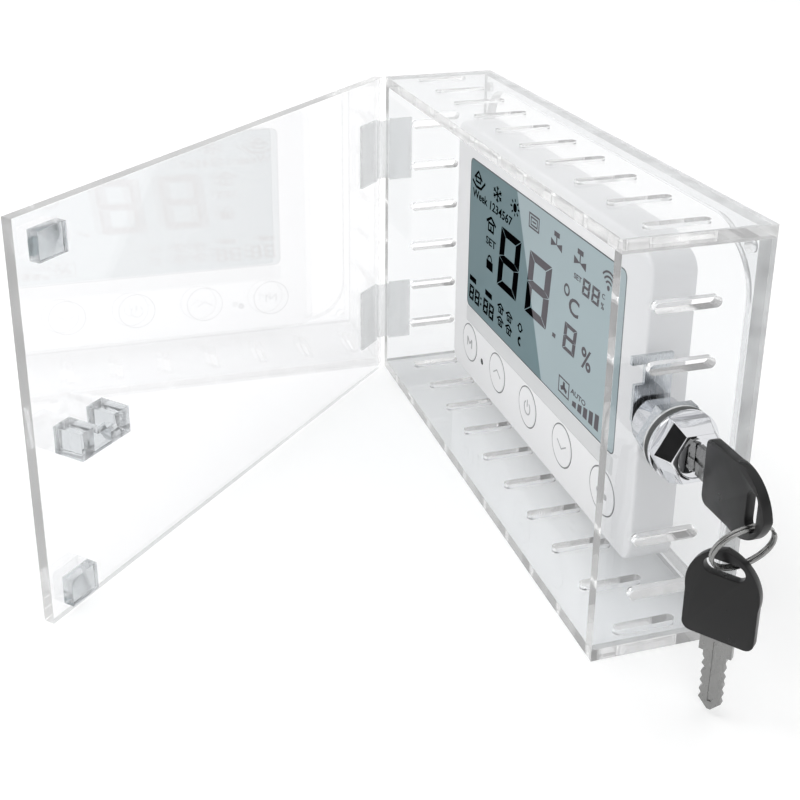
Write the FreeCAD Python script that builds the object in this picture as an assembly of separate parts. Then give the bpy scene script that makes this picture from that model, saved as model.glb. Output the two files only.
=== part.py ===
"""Lockable clear guard round a wall thermostat, as separate named pieces. Millimetres.

Frame: +Z up, +X to the right along the wall, the front faces -Y. The origin is the middle of the
guard's back face, so the wall is the plane y = 0. At rest the door stands ajar, the key is in the
lock, and a spare key hangs from it on a split ring.
"""
import FreeCAD, Part
import math
import os
from FreeCAD import Vector

os.makedirs("parts", exist_ok=True)

# Guard: six glued sheets of clear acrylic.
WIDTH = 238.0
HEIGHT = 150.0
DEPTH = 52.5
SHEET = 4.5
HALF_W = WIDTH / 2
HALF_H = HEIGHT / 2
INNER_W = HALF_W - SHEET
INNER_H = HALF_H - SHEET
FRONT_Y = -DEPTH
SLOT_LENGTH = 23.0
SLOT_WIDTH = 3.6
SLOT_MIDDLE_Y = -28.5
TOP_SLOTS = 10
TOP_SLOT_PITCH = 24.0
SIDE_SLOTS = 6
SIDE_SLOT_PITCH = 20.6
FRAME_LIP = 3.5
FRAME_CORNER = 20.0
FIXING_X = 109.0
FIXING_Z = 65.5
FIXING_HOLE_R = 2.2

# Door: modelled shut, then turned to the angle it rests at.
DOOR_GAP = 0.3
DOOR_INNER_Y = FRONT_Y - DOOR_GAP
HINGE_X = -HALF_W - 1.6
HINGE_Y = DOOR_INNER_Y - SHEET / 2
DOOR_REST_DEG = 45.5
STOP_WIDTH = 13.0
STOP_HEIGHT = 10.7
STOP_DEPTH = SHEET
STOP_RIGHT_X = INNER_W - 1.3
STOP_TOP_Z = INNER_H - 0.7
KEEPER_LEFT_X = 86.0
KEEPER_WIDTH = 24.4
KEEPER_CHEEK = 8.0
KEEPER_TOP_Z = -1.0
KEEPER_HEIGHT = 10.2
KEEPER_DEPTH = 12.3
BRIDGE_THICK = 3.9
BRIDGE_HEIGHT = 6.7

# Film hinges: two leaves and a thin flexible web each.
LEAF_HEIGHT = 30.0
LEAF_THICK = 1.2
WALL_LEAF_WIDTH = 11.0
DOOR_LEAF_START = 6.4
DOOR_LEAF_WIDTH = 15.0
WEB_THICK = 0.5
WEB_CLEAR = 0.6
HINGE_MIDDLES = {"upper": 41.0, "lower": -42.0}

# Cam lock through the right-hand sheet.
LOCK_Y = -26.0
LOCK_Z = 3.5
BARREL_R = 9.4
BARREL_FLAT = 8.2
BARREL_END_X = 101.0
HEAD_LENGTH = 10.0
HEAD_FLATS = 21.6
HEAD_FRONT_FLATS = 16.6
COLLAR_LENGTH = 4.2
NOSE_R = 8.3
FLANGE_R = 12.3
FLANGE_THICK = 1.4
PLUG_R = 6.9
PLUG_FIT = 0.05
TAIL_R = 4.2
CAM_THICK = 1.5
CAM_X = 97.9
KEYWAY_WIDTH = 2.2
KEYWAY_HEIGHT = 7.8

# Keys and ring.
BOW_X = 134.7
BOW_LENGTH = 32.0
BOW_TOP = 11.4
BOW_CORNER = 3.0
BOW_THICK = 3.2
EYE_FROM_BASE = 25.5
EYE_HALF_LENGTH = 6.5
EYE_HALF_WIDTH = 2.6
BLADE_THICK = 2.0
SHOULDER_LENGTH = 5.5
SHOULDER_WIDTH = 10.4
BIT_LENGTH = 21.0
BIT_WIDTH = 7.4
RING_R = 10.0
RING_WIRE_R = 0.58
RING_TURN_STEP = 1.1
RING_SWING_DEG = 22.0
RING_IN_KEY = -5.1
SPARE_HANG = 26.6
SPARE_YAW_DEG = 38.0
SPARE_OFFSET = -2.0

# Thermostat.
BODY_MIDDLE_X = 1.0
BODY_MIDDLE_Z = -1.5
BODY_WIDTH = 180.0
BODY_HEIGHT = 117.0
BODY_CORNER = 7.0
FACE_Y = -26.4
BODY_BACK_Y = -10.0
WALL = 2.2
DISPLAY_WIDTH = 147.0
DISPLAY_HEIGHT = 71.5
DISPLAY_MIDDLE_Z = 10.9
DISPLAY_CORNER = 3.0
STRIP_HEIGHT = 7.5
STRIP_THICK = 0.5
BUTTON_Z = -42.5
BUTTON_PITCH = 34.0
BUTTON_R = 8.5
BUTTON_FIT = 0.15
BUTTON_TRAVEL = 0.4
BOARD_FRONT_Y = -17.4
BOARD_THICK = 1.6
COVER_THICK = 2.0
REAR_WIDTH = 140.0
REAR_HEIGHT = 88.0
REAR_BACK_Y = -3.0
PLATE_WIDTH = 132.0
PLATE_HEIGHT = 80.0
PLATE_SLOT_SPACING = 84.0
PLATE_SLOT_LENGTH = 8.0
PLATE_SLOT_R = 2.1
TERMINAL_COUNT = 7
TERMINAL_PITCH = 7.5

X_AXIS = Vector(1, 0, 0)
Y_AXIS = Vector(0, 1, 0)
Z_AXIS = Vector(0, 0, 1)


def save(name, shape):
    """Writes one node."""
    shape.exportStep("parts/" + name + ".step")


def block(x0, x1, y0, y1, z0, z1):
    """A box between two corners."""
    return Part.makeBox(x1 - x0, y1 - y0, z1 - z0, Vector(x0, y0, z0))


def rod(radius, length, start, direction):
    """A round bar from a point along a direction."""
    return Part.makeCylinder(radius, length, start, direction)


def join(shapes):
    """One solid out of overlapping ones."""
    result = shapes[0]
    for shape in shapes[1:]:
        result = result.fuse(shape)
    return result.removeSplitter()


def drill(shape, cutters):
    """The shape less every cutter."""
    return shape.cut(Part.makeCompound(cutters)).removeSplitter()


def prism(points, direction):
    """A straight prism on a flat polygon."""
    outline = Part.makePolygon([Vector(*point) for point in points + points[:1]])
    return Part.Face(outline).extrude(direction)


def hexagon_corners(flats, x):
    """The corners of a hexagon about the lock's axis, with a flat on top."""
    radius = flats / 2 / math.cos(math.pi / 6)
    corners = []
    for step in range(6):
        turn = math.radians(60 * step)
        corners.append(Vector(x, LOCK_Y + radius * math.cos(turn), LOCK_Z + radius * math.sin(turn)))
    return corners


def hexagon(flats, x, length):
    """A hexagonal bar along X on the lock's axis."""
    return prism(hexagon_corners(flats, x), Vector(length, 0, 0))


def tapered_hexagon(back_flats, front_flats, x, length):
    """A hexagonal bar along X whose six flat sides lean in towards its front."""
    back = hexagon_corners(back_flats, x)
    front = hexagon_corners(front_flats, x + length)
    rings = [back, front]
    for side in range(6):
        following = (side + 1) % 6
        rings.append([back[side], back[following], front[following], front[side]])
    faces = [Part.Face(Part.makePolygon(ring + ring[:1])) for ring in rings]
    solid = Part.Solid(Part.Shell(faces))
    return solid if solid.Volume > 0 else solid.reversed()


def rounded_plate(width, height, y0, y1, radius, middle=(0.0, 0.0)):
    """A plate parallel to the wall with rounded corners, about a middle in X and Z."""
    plate = block(middle[0] - width / 2, middle[0] + width / 2, y0, y1,
                  middle[1] - height / 2, middle[1] + height / 2)
    uprights = [edge for edge in plate.Edges
                if abs(edge.Vertexes[0].X - edge.Vertexes[1].X) < 1e-6
                and abs(edge.Vertexes[0].Z - edge.Vertexes[1].Z) < 1e-6]
    return plate.makeFillet(radius, uprights)


def slot(length, width, middle, along, through, depth):
    """A round-ended slot cutter: its length along one axis, cut through another."""
    half = along * ((length - width) / 2)
    start = middle - through * (depth / 2)
    ends = [rod(width / 2, depth, start - half, through), rod(width / 2, depth, start + half, through)]
    across = through.cross(along) * (width / 2)
    corners = [start - half - across, start + half - across, start + half + across, start - half + across]
    bar = prism([tuple(corner) for corner in corners], through * depth)
    return join([bar] + ends)


# ---------------------------------------------------------------- guard

def vented_level(z0, z1):
    """The top or bottom sheet, with its row of vent slots."""
    sheet = block(-HALF_W, HALF_W, FRONT_Y, 0, z0, z1)
    first = -TOP_SLOT_PITCH * (TOP_SLOTS - 1) / 2
    cutters = []
    for index in range(TOP_SLOTS):
        middle = Vector(first + index * TOP_SLOT_PITCH, SLOT_MIDDLE_Y, (z0 + z1) / 2)
        cutters.append(slot(SLOT_LENGTH, SLOT_WIDTH, middle, Y_AXIS, Z_AXIS, 3 * SHEET))
    return drill(sheet, cutters)


def vented_side(x0, x1, skipped):
    """A side sheet with its column of vent slots, some left out for the lock."""
    sheet = block(x0, x1, FRONT_Y, 0, -INNER_H, INNER_H)
    first = -SIDE_SLOT_PITCH * (SIDE_SLOTS - 1) / 2
    cutters = []
    for index in range(SIDE_SLOTS):
        if index not in skipped:
            middle = Vector((x0 + x1) / 2, SLOT_MIDDLE_Y, first + index * SIDE_SLOT_PITCH)
            cutters.append(slot(SLOT_LENGTH, SLOT_WIDTH, middle, Y_AXIS, X_AXIS, 3 * SHEET))
    return drill(sheet, cutters)


def flatted_bar(radius, flat, x, length):
    """A round bar on the lock's axis with a flat above and below."""
    bar = rod(radius, length, Vector(x, LOCK_Y, LOCK_Z), X_AXIS)
    keep = block(x, x + length, LOCK_Y - radius, LOCK_Y + radius, LOCK_Z - flat, LOCK_Z + flat)
    return bar.common(keep)


def back_frame():
    """The sheet against the wall: a narrow lip round a large rounded cut-out, holed at its corners."""
    sheet = block(-INNER_W, INNER_W, -SHEET, 0, -INNER_H, INNER_H)
    window = rounded_plate(2 * (INNER_W - FRAME_LIP), 2 * (INNER_H - FRAME_LIP), -2 * SHEET, SHEET, FRAME_CORNER)
    holes = [rod(FIXING_HOLE_R, 3 * SHEET, Vector(x, -2 * SHEET, z), Y_AXIS)
             for x in (-FIXING_X, FIXING_X) for z in (-FIXING_Z, FIXING_Z)]
    return drill(sheet, [window] + holes)


def guard():
    """The five fixed sheets."""
    save("guard_top_sheet", vented_level(INNER_H, HALF_H))
    save("guard_bottom_sheet", vented_level(-HALF_H, -INNER_H))
    save("guard_left_sheet", vented_side(-HALF_W, -INNER_W, ()))
    lock_hole = flatted_bar(BARREL_R + 0.15, BARREL_FLAT + 0.15, INNER_W - SHEET, 3 * SHEET)
    save("guard_right_sheet", drill(vented_side(INNER_W, HALF_W, (2, 3)), [lock_hole]))
    save("guard_back_frame", back_frame())


# ---------------------------------------------------------------- door

def ajar(shape):
    """Turns a piece of the shut door to the rest angle."""
    turned = shape.copy()
    turned.rotate(Vector(HINGE_X, HINGE_Y, 0), Z_AXIS, -DOOR_REST_DEG)
    return turned


def keeper():
    """The catch block: two cheeks and a lower bridge that the cam's hook drops behind."""
    x0 = KEEPER_LEFT_X
    x1 = x0 + KEEPER_WIDTH
    low = KEEPER_TOP_Z - KEEPER_HEIGHT
    tip = DOOR_INNER_Y + KEEPER_DEPTH
    cheeks = [block(x0, x0 + KEEPER_CHEEK, DOOR_INNER_Y, tip, low, KEEPER_TOP_Z),
              block(x1 - KEEPER_CHEEK, x1, DOOR_INNER_Y, tip, low, KEEPER_TOP_Z)]
    bridge = block(x0 + 1, x1 - 1, tip - BRIDGE_THICK, tip, low, low + BRIDGE_HEIGHT)
    return join(cheeks + [bridge])


def door():
    """The door sheet, its two stop blocks and its catch block, all standing ajar."""
    save("door_sheet", ajar(block(-HALF_W, HALF_W, DOOR_INNER_Y - SHEET, DOOR_INNER_Y, -HALF_H, HALF_H)))
    left = STOP_RIGHT_X - STOP_WIDTH
    back = DOOR_INNER_Y + STOP_DEPTH
    upper = block(left, STOP_RIGHT_X, DOOR_INNER_Y, back, STOP_TOP_Z - STOP_HEIGHT, STOP_TOP_Z)
    lower = block(left, STOP_RIGHT_X, DOOR_INNER_Y, back, -STOP_TOP_Z, -STOP_TOP_Z + STOP_HEIGHT)
    save("door_stop_upper", ajar(upper))
    save("door_stop_lower", ajar(lower))
    save("door_keeper", ajar(keeper()))


def hinge(name, middle_z):
    """One film hinge: a leaf on the side sheet, a leaf on the door and the web between them."""
    low = middle_z - LEAF_HEIGHT / 2
    high = middle_z + LEAF_HEIGHT / 2
    wall_front = FRONT_Y + 0.4
    save("hinge_wall_leaf_" + name,
         block(-INNER_W, -INNER_W + LEAF_THICK, wall_front, wall_front + WALL_LEAF_WIDTH, low, high))
    door_left = -HALF_W + DOOR_LEAF_START
    save("hinge_door_leaf_" + name,
         ajar(block(door_left, door_left + DOOR_LEAF_WIDTH, DOOR_INNER_Y, DOOR_INNER_Y + LEAF_THICK, low, high)))
    near = Vector(-INNER_W + LEAF_THICK / 2, wall_front - WEB_CLEAR / 2, 0)
    far = ajar(Part.Vertex(Vector(door_left - WEB_CLEAR, DOOR_INNER_Y + LEAF_THICK / 2, 0))).Point
    run = far - near
    across = Vector(-run.y, run.x, 0).normalize() * (WEB_THICK / 2)
    corners = [near - across, far - across, far + across, near + across]
    save("hinge_web_" + name, prism([(corner.x, corner.y, low + 1) for corner in corners],
                                    Vector(0, 0, LEAF_HEIGHT - 2)))


# ---------------------------------------------------------------- lock

def on_axis(x):
    """A point on the lock's axis."""
    return Vector(x, LOCK_Y, LOCK_Z)


def lock_body():
    """The die-cast body: a six-sided tapered head outside the sheet and a flatted barrel inside."""
    face_x = HALF_W + HEAD_LENGTH
    flange = rod(FLANGE_R, FLANGE_THICK, on_axis(HALF_W), X_AXIS)
    collar = hexagon(HEAD_FLATS, HALF_W, COLLAR_LENGTH)
    facets = tapered_hexagon(HEAD_FLATS, HEAD_FRONT_FLATS, HALF_W + COLLAR_LENGTH, HEAD_LENGTH - COLLAR_LENGTH)
    nose = rod(NOSE_R, HEAD_LENGTH, on_axis(HALF_W), X_AXIS)
    barrel = flatted_bar(BARREL_R, BARREL_FLAT, BARREL_END_X, HALF_W - BARREL_END_X + 1)
    bore = rod(PLUG_R + PLUG_FIT, face_x - BARREL_END_X, on_axis(BARREL_END_X + 2.5), X_AXIS)
    tail_hole = rod(TAIL_R + PLUG_FIT, 10, on_axis(BARREL_END_X - 1), X_AXIS)
    return drill(join([flange, collar, facets, nose, barrel]), [bore, tail_hole])


def keyway(x0, x1):
    """The slot for the blade."""
    return block(x0, x1, LOCK_Y - KEYWAY_WIDTH / 2, LOCK_Y + KEYWAY_WIDTH / 2,
                 LOCK_Z - KEYWAY_HEIGHT / 2, LOCK_Z + KEYWAY_HEIGHT / 2)


def lock_plug():
    """The turning core, from its face to the square that drives the cam."""
    face_x = HALF_W + HEAD_LENGTH - 0.4
    shoulder_x = BARREL_END_X + 2.6
    core = rod(PLUG_R, face_x - shoulder_x, on_axis(shoulder_x), X_AXIS)
    cam_back = CAM_X + CAM_THICK
    tail = rod(TAIL_R, shoulder_x - cam_back + 1, on_axis(cam_back), X_AXIS)
    square = block(CAM_X, cam_back + 1, LOCK_Y - 2.8, LOCK_Y + 2.8, LOCK_Z - 2.8, LOCK_Z + 2.8)
    screw_hole = rod(1.6, 6, on_axis(CAM_X - 1), X_AXIS)
    return drill(join([core, tail, square]), [keyway(face_x - 24, face_x + 1), screw_hole])


def lock_cam():
    """The hooked cam, pointing straight up while the lock is open."""
    outline = [(-5.0, 0.0), (-5.0, 23.5), (10.0, 23.5), (10.0, 20.5), (5.0, 20.5), (5.0, 13.2),
               (8.5, 13.2), (8.5, 0.0)]
    arm = prism([(CAM_X, LOCK_Y - reach, LOCK_Z + up) for reach, up in outline], Vector(CAM_THICK, 0, 0))
    hub = rod(8.0, CAM_THICK, on_axis(CAM_X), X_AXIS)
    square = block(CAM_X - 1, CAM_X + 3, LOCK_Y - 2.8, LOCK_Y + 2.8, LOCK_Z - 2.8, LOCK_Z + 2.8)
    return drill(join([arm, hub]), [square])


def lock():
    """Every piece of the cam lock."""
    save("lock_body", lock_body())
    washer = rod(12.0, 0.8, on_axis(INNER_W - 0.8), X_AXIS)
    opening = flatted_bar(BARREL_R, BARREL_FLAT, INNER_W - 8, 12)
    save("lock_washer", drill(washer, [opening]))
    nut = hexagon(22.0, INNER_W - 4.8, 4.0)
    save("lock_nut", drill(nut, [rod(BARREL_R, 12, on_axis(INNER_W - 8), X_AXIS)]))
    save("lock_plug", lock_plug())
    save("lock_cam", lock_cam())
    head = rod(4.0, 2.2, on_axis(CAM_X - 2.2), X_AXIS)
    shank = rod(1.6, 7.0, on_axis(CAM_X - 2.2), X_AXIS)
    recess = block(CAM_X - 3, CAM_X - 1.2, LOCK_Y - 2.6, LOCK_Y + 2.6, LOCK_Z - 0.5, LOCK_Z + 0.5)
    save("lock_cam_screw", drill(join([head, shank]), [recess]))


# ---------------------------------------------------------------- keys and ring

def key_bow():
    """The moulded head of a key: its base at x = 0, the blade's axis along X, flat in X and Z."""
    half = BOW_THICK / 2
    straight = 15.0
    middle = (BOW_LENGTH + straight) / 2 + 3.4
    corner = BOW_TOP - BOW_CORNER
    bend = BOW_CORNER * (1 - math.sqrt(0.5))
    nose = Vector(BOW_LENGTH, -half, 0)
    cheek_out = Vector(middle, -half, 8.4)
    cheek_in = Vector(middle, -half, -8.4)
    edges = [
        Part.LineSegment(Vector(BOW_CORNER, -half, BOW_TOP), Vector(straight, -half, BOW_TOP)),
        Part.Arc(Vector(straight, -half, BOW_TOP), cheek_out, nose),
        Part.Arc(nose, cheek_in, Vector(straight, -half, -BOW_TOP)),
        Part.LineSegment(Vector(straight, -half, -BOW_TOP), Vector(BOW_CORNER, -half, -BOW_TOP)),
        Part.Arc(Vector(BOW_CORNER, -half, -BOW_TOP), Vector(bend, -half, -BOW_TOP + bend), Vector(0, -half, -corner)),
        Part.LineSegment(Vector(0, -half, -corner), Vector(0, -half, corner)),
        Part.Arc(Vector(0, -half, corner), Vector(bend, -half, BOW_TOP - bend), Vector(BOW_CORNER, -half, BOW_TOP)),
    ]
    wire = Part.Wire([edge.toShape() for edge in edges])
    plate = Part.Face(wire).extrude(Vector(0, BOW_THICK, 0))
    eye = slot(2 * EYE_HALF_LENGTH, 2 * EYE_HALF_WIDTH, Vector(EYE_FROM_BASE, 0, 0), Z_AXIS, Y_AXIS, 3 * BOW_THICK)
    socket = block(-1, 9, -BLADE_THICK / 2, BLADE_THICK / 2, -SHOULDER_WIDTH / 2, SHOULDER_WIDTH / 2)
    return drill(plate, [eye, socket])


def key_blade():
    """The metal blade, from inside the bow to the tip, cut on both edges."""
    half = BLADE_THICK / 2
    shank_end = -SHOULDER_LENGTH
    tip = shank_end - BIT_LENGTH
    shank = block(shank_end, 9, -half, half, -SHOULDER_WIDTH / 2, SHOULDER_WIDTH / 2)
    side = BIT_WIDTH / 2
    outline = [(shank_end, side), (tip + 3.5, side), (tip, 0.6), (tip, -0.6), (tip + 3.5, -side), (shank_end, -side)]
    bit = prism([(x, -half, z) for x, z in outline], Vector(0, BLADE_THICK, 0))
    cuts = []
    for index, depth in enumerate((0.8, 1.5, 0.6, 1.3, 0.9)):
        x = shank_end - 3.2 - index * 3.2
        cuts.append(prism([(x - 1.6, -half, side + 0.1), (x, -half, side - depth), (x + 1.6, -half, side + 0.1)],
                          Vector(0, BLADE_THICK, 0)))
        low = depth * 0.7
        cuts.append(prism([(x - 1.6, -half, -side - 0.1), (x, -half, -side + low), (x + 1.6, -half, -side - 0.1)],
                          Vector(0, BLADE_THICK, 0)))
    groove = block(tip + 3, -1.2, -half, -half + 0.5, -0.7, 0.7)
    return drill(join([shank, bit]), cuts + [groove])


def in_lock(shape):
    """Places a key piece on the lock's axis."""
    placed = shape.copy()
    placed.translate(Vector(BOW_X, LOCK_Y, LOCK_Z))
    return placed


RING_TOP = Vector(BOW_X + EYE_FROM_BASE, LOCK_Y, LOCK_Z + RING_IN_KEY)
RING_DOWN = Vector(-math.sin(math.radians(RING_SWING_DEG)), 0, -math.cos(math.radians(RING_SWING_DEG)))
RING_BOTTOM = RING_TOP + RING_DOWN * (2 * RING_R)


def split_ring():
    """Two wire turns side by side, hanging through the key's eye."""
    normal = RING_DOWN.cross(Y_AXIS)
    middle = RING_TOP + RING_DOWN * RING_R
    turns = [Part.makeTorus(RING_R, RING_WIRE_R, middle + normal * (side * RING_TURN_STEP / 2), normal)
             for side in (-1, 1)]
    return join(turns)


def hanging(shape):
    """Places a key piece under the ring, blade down, its flat turned part of the way round."""
    placed = shape.copy()
    placed.rotate(Vector(0, 0, 0), Y_AXIS, -90)
    placed.rotate(Vector(0, 0, 0), Z_AXIS, SPARE_YAW_DEG)
    yaw = math.radians(SPARE_YAW_DEG)
    aside = Vector(math.cos(yaw), math.sin(yaw), 0) * SPARE_OFFSET
    placed.translate(RING_BOTTOM + aside - Vector(0, 0, SPARE_HANG))
    return placed


def keys():
    """The key in the lock, the ring and the spare key."""
    save("key_bow", in_lock(key_bow()))
    save("key_blade", in_lock(key_blade()))
    save("split_ring", split_ring())
    save("spare_key_bow", hanging(key_bow()))
    save("spare_key_blade", hanging(key_blade()))


# ---------------------------------------------------------------- thermostat

BODY_MIDDLE = (BODY_MIDDLE_X, BODY_MIDDLE_Z)
DISPLAY_MIDDLE = (BODY_MIDDLE_X, DISPLAY_MIDDLE_Z)
STRIP_MIDDLE = (BODY_MIDDLE_X, DISPLAY_MIDDLE_Z - DISPLAY_HEIGHT / 2 - STRIP_HEIGHT / 2 - 0.4)
BUTTON_NAMES = ("mode", "up", "power", "down", "fan")
STATUS_X = BODY_MIDDLE_X - 1.5 * BUTTON_PITCH - 1.5
STATUS_Z = BUTTON_Z - 3.0
STATUS_R = 1.5
BOARD_BACK_Y = BOARD_FRONT_Y + BOARD_THICK
COVER_FRONT_Y = BODY_BACK_Y - COVER_THICK


def button_x(index):
    """The middle of a button in the row of five."""
    return BODY_MIDDLE_X + (index - 2) * BUTTON_PITCH


def corner_posts(radius, y0, y1, inset):
    """Four round posts near the corners of the body."""
    x = BODY_WIDTH / 2 - inset
    z = BODY_HEIGHT / 2 - inset
    return [rod(radius, y1 - y0, Vector(BODY_MIDDLE_X + side * x, y0, BODY_MIDDLE_Z + end * z), Y_AXIS)
            for side in (-1, 1) for end in (-1, 1)]


def housing():
    """The white front shell, open at the back."""
    shell = rounded_plate(BODY_WIDTH, BODY_HEIGHT, FACE_Y, BODY_BACK_Y, BODY_CORNER, BODY_MIDDLE)
    rim = [edge for edge in shell.Edges if all(abs(v.Y - FACE_Y) < 1e-6 for v in edge.Vertexes)]
    shell = shell.makeFillet(1.2, rim)
    hollow = rounded_plate(BODY_WIDTH - 2 * WALL, BODY_HEIGHT - 2 * WALL, FACE_Y + WALL, BODY_BACK_Y + 1,
                           BODY_CORNER - WALL, BODY_MIDDLE)
    shell = shell.cut(hollow)
    posts = corner_posts(3.2, FACE_Y + WALL - 0.5, COVER_FRONT_Y, 8.5)
    shell = join([shell] + posts)
    cutters = [rounded_plate(DISPLAY_WIDTH, DISPLAY_HEIGHT, FACE_Y - 1, FACE_Y + WALL + 1, DISPLAY_CORNER,
                             DISPLAY_MIDDLE)]
    cutters.append(rounded_plate(DISPLAY_WIDTH, STRIP_HEIGHT, FACE_Y - 1, FACE_Y + STRIP_THICK, 1.0, STRIP_MIDDLE))
    for index in range(len(BUTTON_NAMES)):
        cutters.append(rod(BUTTON_R + BUTTON_FIT, 6, Vector(button_x(index), FACE_Y - 1, BUTTON_Z), Y_AXIS))
    cutters.append(rod(STATUS_R + 0.05, 6, Vector(STATUS_X, FACE_Y - 1, STATUS_Z), Y_AXIS))
    cutters += corner_posts(1.1, COVER_FRONT_Y - 7, COVER_FRONT_Y + 1, 8.5)
    for index in range(9):
        x = BODY_MIDDLE_X - 40 + index * 10
        low = BODY_MIDDLE_Z - BODY_HEIGHT / 2
        cutters.append(block(x - 2.5, x + 2.5, FACE_Y + 8, FACE_Y + 9.6, low - 1, low + WALL + 1))
    return drill(shell, cutters)


def display():
    """Window, display cell, light guide and the two rubber contact strips."""
    save("display_window", rounded_plate(DISPLAY_WIDTH - 0.2, DISPLAY_HEIGHT - 0.2, FACE_Y + 0.02, FACE_Y + 1.5,
                                         DISPLAY_CORNER - 0.1, DISPLAY_MIDDLE))
    glass_w = DISPLAY_WIDTH + 6
    glass_h = DISPLAY_HEIGHT + 5
    save("display_cell", rounded_plate(glass_w, glass_h, FACE_Y + WALL + 0.1, FACE_Y + WALL + 2.3, 0.8,
                                       DISPLAY_MIDDLE))
    save("display_light_guide", rounded_plate(glass_w - 4, glass_h - 10, FACE_Y + WALL + 2.4, FACE_Y + WALL + 5.4,
                                              0.8, DISPLAY_MIDDLE))
    strips = []
    for side in (-1, 1):
        z = DISPLAY_MIDDLE_Z + side * (glass_h / 2 - 2)
        strips.append(block(BODY_MIDDLE_X - 60, BODY_MIDDLE_X + 60, FACE_Y + WALL + 2.4, BOARD_FRONT_Y - 0.05,
                            z - 1.2, z + 1.2))
    save("display_contact_strips", Part.makeCompound(strips))
    save("trim_strip", rounded_plate(DISPLAY_WIDTH - 0.2, STRIP_HEIGHT - 0.2, FACE_Y + 0.05, FACE_Y + STRIP_THICK,
                                     0.9, STRIP_MIDDLE))
    save("status_window", rod(STATUS_R, 2.1, Vector(STATUS_X, FACE_Y + 0.1, STATUS_Z), Y_AXIS))


def button(index):
    """A push button: cap, the flange that holds it in, and its stem."""
    x = button_x(index)
    cap = rod(BUTTON_R, WALL + 1.0, Vector(x, FACE_Y - 0.15, BUTTON_Z), Y_AXIS)
    flange = rod(BUTTON_R + 1.0, 0.8, Vector(x, FACE_Y + WALL + 0.1, BUTTON_Z), Y_AXIS)
    stem = rod(1.8, 2.0, Vector(x, FACE_Y + WALL + 0.2, BUTTON_Z), Y_AXIS)
    return join([cap, flange, stem])


def electronics():
    """The boards and what stands on them."""
    width = BODY_WIDTH - 2 * WALL - 4
    height = BODY_HEIGHT - 2 * WALL - 4
    board = rounded_plate(width, height, BOARD_FRONT_Y, BOARD_BACK_Y, 2.0, BODY_MIDDLE)
    save("main_board", drill(board, corner_posts(3.6, BOARD_FRONT_Y - 1, BOARD_BACK_Y + 1, 8.5)))
    switch_front = FACE_Y + WALL + 2.2 + 0.1 + BUTTON_TRAVEL
    switches = []
    for index in range(len(BUTTON_NAMES)):
        x = button_x(index)
        body = block(x - 3, x + 3, switch_front + 1.2, BOARD_FRONT_Y, BUTTON_Z - 3, BUTTON_Z + 3)
        switches.append(join([body, rod(1.7, 2.0, Vector(x, switch_front, BUTTON_Z), Y_AXIS)]))
    save("tact_switches", Part.makeCompound(switches))
    relays = [block(x - 7.5, x + 7.5, BOARD_BACK_Y, REAR_BACK_Y - 3.0, 18, 36) for x in (-40.0, -20.0, 0.0)]
    save("relays", Part.makeCompound(relays))
    save("power_module", block(16, 46, BOARD_BACK_Y, REAR_BACK_Y - 3.0, 12, 36))
    chip = block(-12, 0, BOARD_BACK_Y, BOARD_BACK_Y + 1.4, -8, 4)
    save("controller_chip", chip)
    save("radio_module", block(30, 48, BOARD_BACK_Y, BOARD_BACK_Y + 2.6, -34, -10))
    save("buzzer", rod(5.0, 3.4, Vector(-44, BOARD_BACK_Y, -34), Y_AXIS))
    bead = Part.makeSphere(1.4, Vector(BODY_MIDDLE_X, BOARD_FRONT_Y - 4.0, BODY_MIDDLE_Z - 50))
    leads = [rod(0.3, 3.4, Vector(BODY_MIDDLE_X + side * 0.7, BOARD_FRONT_Y - 3.4, BODY_MIDDLE_Z - 50), Y_AXIS)
             for side in (-1, 1)]
    save("temperature_sensor", join([bead] + leads))


def terminals():
    """The screw terminals for the wiring, reached from the back."""
    length = TERMINAL_COUNT * TERMINAL_PITCH
    low = -30.0
    front = BOARD_BACK_Y
    back = REAR_BACK_Y - 1.0
    body = block(-length / 2, length / 2, front, back, low, low + 11)
    cutters = []
    screws = []
    for index in range(TERMINAL_COUNT):
        x = (index - (TERMINAL_COUNT - 1) / 2) * TERMINAL_PITCH
        cutters.append(rod(2.3, 4, Vector(x, back - 3, low + 6.5), Y_AXIS))
        cutters.append(block(x - 2.2, x + 2.2, back - 7, back - 3.6, low - 1, low + 7))
        head = rod(2.1, 1.6, Vector(x, back - 3, low + 6.5), Y_AXIS)
        groove = block(x - 2.4, x + 2.4, back - 2.0, back, low + 6.2, low + 6.8)
        screws.append(head.cut(groove))
    save("terminal_block", drill(body, cutters))
    save("terminal_screws", Part.makeCompound(screws))


def back_cover():
    """The rear half: a plate that closes the shell, and the smaller box behind it."""
    fit = 0.2
    plate = rounded_plate(BODY_WIDTH - 2 * WALL - 2 * fit, BODY_HEIGHT - 2 * WALL - 2 * fit, COVER_FRONT_Y,
                          BODY_BACK_Y, BODY_CORNER - WALL - fit, BODY_MIDDLE)
    box = rounded_plate(REAR_WIDTH, REAR_HEIGHT, COVER_FRONT_Y, REAR_BACK_Y, 4.0)
    hollow = rounded_plate(REAR_WIDTH - 4, REAR_HEIGHT - 4, COVER_FRONT_Y - 1, REAR_BACK_Y - 2.0, 2.0)
    access = rounded_plate(60, 20, REAR_BACK_Y - 4, REAR_BACK_Y + 1, 1.0, (0.0, -26.0))
    holes = corner_posts(1.4, COVER_FRONT_Y - 1, BODY_BACK_Y + 1, 8.5)
    return drill(join([plate, box]), [hollow, access] + holes)


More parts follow.
